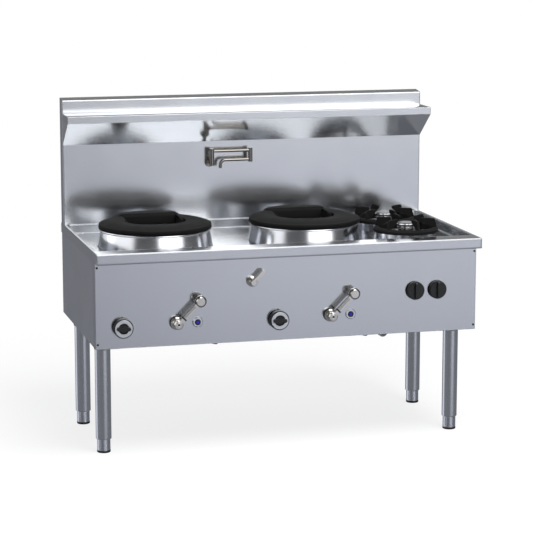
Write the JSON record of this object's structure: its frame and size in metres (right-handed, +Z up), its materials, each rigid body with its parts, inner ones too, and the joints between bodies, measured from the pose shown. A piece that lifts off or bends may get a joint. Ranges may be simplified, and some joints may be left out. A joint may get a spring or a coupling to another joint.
{
  "type": "wok range",
  "caption": "Free-standing gas wok range with sunk steel hob, cast wok rings, side burners, lever gas cocks, splashback, shelf and folding water spout on round legs.",
  "frame": {"origin": "on the floor under the middle of the outer box", "axes": "+X to the right of the cook, +Y to the wall behind, +Z up"},
  "size_m": [1.5, 0.8, 1.3],
  "materials": {
    "stainless_brushed": "brushed",
    "stainless_polished": "polished",
    "stainless_tube": "satin",
    "nickel_plated": "polished",
    "cast_iron": "black enamel, satin",
    "burner_iron": "as cast",
    "cap_alloy": "polished",
    "brass": "machined",
    "galvanised_pipe": "galvanised",
    "copper_pipe": "drawn",
    "black_plastic": "satin",
    "blue_plastic": "gloss",
    "black_screw": "black oxide"
  },
  "bodies": {
    "cabinet": {"hob_top": "stainless_brushed", "front_panel": "stainless_brushed", "left_side_panel": "stainless_brushed", "right_side_panel": "stainless_brushed", "rear_panel": "stainless_brushed", "left_leg_channel": "stainless_brushed", "right_leg_channel": "stainless_brushed", "burner_rails": "stainless_brushed", "splashback_front": "stainless_brushed", "splashback_back": "stainless_brushed", "shelf_tray": "stainless_brushed", "shelf_underside": "stainless_brushed", "leg_front_left": "stainless_tube", "leg_front_right": "stainless_tube", "leg_rear_left": "stainless_tube", "leg_rear_right": "stainless_tube", "panel_screws": "black_screw", "gas_manifold": "galvanised_pipe", "burner_gas_pipes": "galvanised_pipe", "water_pipes": "copper_pipe", "left_wok_stand": "stainless_polished", "right_wok_stand": "stainless_polished", "left_fire_bowl": "stainless_brushed", "right_fire_bowl": "stainless_brushed", "left_wok_burner": "burner_iron", "right_wok_burner": "burner_iron", "pilot_sets": "brass", "front_spill_ring": "stainless_polished", "rear_spill_ring": "stainless_polished", "front_side_burner": "burner_iron", "rear_side_burner": "burner_iron", "valve_bodies": "brass", "igniter_bodies": "nickel_plated", "spout_flange": "nickel_plated", "drain_waste": "stainless_brushed"},
    "foot_front_left": {"foot_front_left": "stainless_tube"},
    "foot_front_right": {"foot_front_right": "stainless_tube"},
    "foot_rear_left": {"foot_rear_left": "stainless_tube"},
    "foot_rear_right": {"foot_rear_right": "stainless_tube"},
    "left_wok_ring": {"left_wok_ring": "cast_iron"},
    "left_pilot_spindle": {"left_pilot_spindle": "brass"},
    "left_pilot_knob": {"left_pilot_knob": "black_plastic"},
    "left_gas_lever": {"left_gas_lever": "nickel_plated"},
    "left_igniter_button": {"left_igniter_button": "blue_plastic"},
    "right_wok_ring": {"right_wok_ring": "cast_iron"},
    "right_pilot_spindle": {"right_pilot_spindle": "brass"},
    "right_pilot_knob": {"right_pilot_knob": "black_plastic"},
    "right_gas_lever": {"right_gas_lever": "nickel_plated"},
    "right_igniter_button": {"right_igniter_button": "blue_plastic"},
    "front_trivet": {"front_trivet": "cast_iron"},
    "front_burner_cap": {"front_burner_cap": "cap_alloy"},
    "rear_trivet": {"rear_trivet": "cast_iron"},
    "rear_burner_cap": {"rear_burner_cap": "cap_alloy"},
    "left_side_spindle": {"left_side_spindle": "brass"},
    "left_side_knob": {"left_side_knob": "black_plastic"},
    "right_side_spindle": {"right_side_spindle": "brass"},
    "right_side_knob": {"right_side_knob": "black_plastic"},
    "tap_handle": {"tap_handle": "nickel_plated"},
    "spout_upper_arm": {"spout_upper_arm": "nickel_plated"},
    "spout_lower_arm": {"spout_lower_arm": "nickel_plated"}
  },
  "joints": [
    {"name": "foot_front_left_adjust", "type": "slide", "parent": "cabinet", "child": "foot_front_left", "axis": [0, 0, -1], "range_m": [-0.025, 0.02]},
    {"name": "foot_front_right_adjust", "type": "slide", "parent": "cabinet", "child": "foot_front_right", "axis": [0, 0, -1], "range_m": [-0.025, 0.02]},
    {"name": "foot_rear_left_adjust", "type": "slide", "parent": "cabinet", "child": "foot_rear_left", "axis": [0, 0, -1], "range_m": [-0.025, 0.02]},
    {"name": "foot_rear_right_adjust", "type": "slide", "parent": "cabinet", "child": "foot_rear_right", "axis": [0, 0, -1], "range_m": [-0.025, 0.02]},
    {"name": "left_wok_ring_lift", "type": "slide", "parent": "cabinet", "child": "left_wok_ring", "axis": [0, 0, 1], "range_m": [0, 0.15]},
    {"name": "left_pilot_push", "type": "slide", "parent": "cabinet", "child": "left_pilot_spindle", "axis": [0, 1, 0], "range_m": [0, 0.004], "stiffness_N_per_m": 2000},
    {"name": "left_pilot_turn", "type": "hinge", "parent": "left_pilot_spindle", "child": "left_pilot_knob", "pos_m": [-0.647, -0.345, 0.51], "axis": [0, -1, 0], "range_deg": [0, 90]},
    {"name": "left_gas_lever_turn", "type": "hinge", "parent": "cabinet", "child": "left_gas_lever", "pos_m": [-0.442, -0.345, 0.517], "axis": [0, -1, 0], "range_deg": [-90, 0]},
    {"name": "left_igniter_push", "type": "slide", "parent": "cabinet", "child": "left_igniter_button", "axis": [0, 1, 0], "range_m": [0, 0.005], "stiffness_N_per_m": 1500},
    {"name": "right_wok_ring_lift", "type": "slide", "parent": "cabinet", "child": "right_wok_ring", "axis": [0, 0, 1], "range_m": [0, 0.15]},
    {"name": "right_pilot_push", "type": "slide", "parent": "cabinet", "child": "right_pilot_spindle", "axis": [0, 1, 0], "range_m": [0, 0.004], "stiffness_N_per_m": 2000},
    {"name": "right_pilot_turn", "type": "hinge", "parent": "right_pilot_spindle", "child": "right_pilot_knob", "pos_m": [-0.047, -0.345, 0.51], "axis": [0, -1, 0], "range_deg": [0, 90]},
    {"name": "right_gas_lever_turn", "type": "hinge", "parent": "cabinet", "child": "right_gas_lever", "pos_m": [0.158, -0.345, 0.517], "axis": [0, -1, 0], "range_deg": [-90, 0]},
    {"name": "right_igniter_push", "type": "slide", "parent": "cabinet", "child": "right_igniter_button", "axis": [0, 1, 0], "range_m": [0, 0.005], "stiffness_N_per_m": 1500},
    {"name": "front_trivet_lift", "type": "slide", "parent": "cabinet", "child": "front_trivet", "axis": [0, 0, 1], "range_m": [0, 0.12]},
    {"name": "front_burner_cap_lift", "type": "slide", "parent": "cabinet", "child": "front_burner_cap", "axis": [0, 0, 1], "range_m": [0, 0.1]},
    {"name": "rear_trivet_lift", "type": "slide", "parent": "cabinet", "child": "rear_trivet", "axis": [0, 0, 1], "range_m": [0, 0.12]},
    {"name": "rear_burner_cap_lift", "type": "slide", "parent": "cabinet", "child": "rear_burner_cap", "axis": [0, 0, 1], "range_m": [0, 0.1]},
    {"name": "left_side_push", "type": "slide", "parent": "cabinet", "child": "left_side_spindle", "axis": [0, 1, 0], "range_m": [0, 0.004], "stiffness_N_per_m": 2000},
    {"name": "left_side_turn", "type": "hinge", "parent": "left_side_spindle", "child": "left_side_knob", "pos_m": [0.499, -0.345, 0.595], "axis": [0, -1, 0], "range_deg": [0, 180]},
    {"name": "right_side_push", "type": "slide", "parent": "cabinet", "child": "right_side_spindle", "axis": [0, 1, 0], "range_m": [0, 0.004], "stiffness_N_per_m": 2000},
    {"name": "right_side_turn", "type": "hinge", "parent": "right_side_spindle", "child": "right_side_knob", "pos_m": [0.589, -0.345, 0.595], "axis": [0, -1, 0], "range_deg": [0, 180]},
    {"name": "tap_turn", "type": "hinge", "parent": "cabinet", "child": "tap_handle", "pos_m": [-0.15, -0.345, 0.662], "axis": [0, -1, 0], "range_deg": [-90, 0]},
    {"name": "spout_upper_swing", "type": "hinge", "parent": "cabinet", "child": "spout_upper_arm", "pos_m": [-0.15, 0.297, 1.05], "axis": [0, 0, 1], "range_deg": [-180, 0]},
    {"name": "spout_lower_swing", "type": "hinge", "parent": "spout_upper_arm", "child": "spout_lower_arm", "pos_m": [0.01, 0.297, 1.05], "axis": [0, 0, 1], "range_deg": [0, 180]}
  ]
}
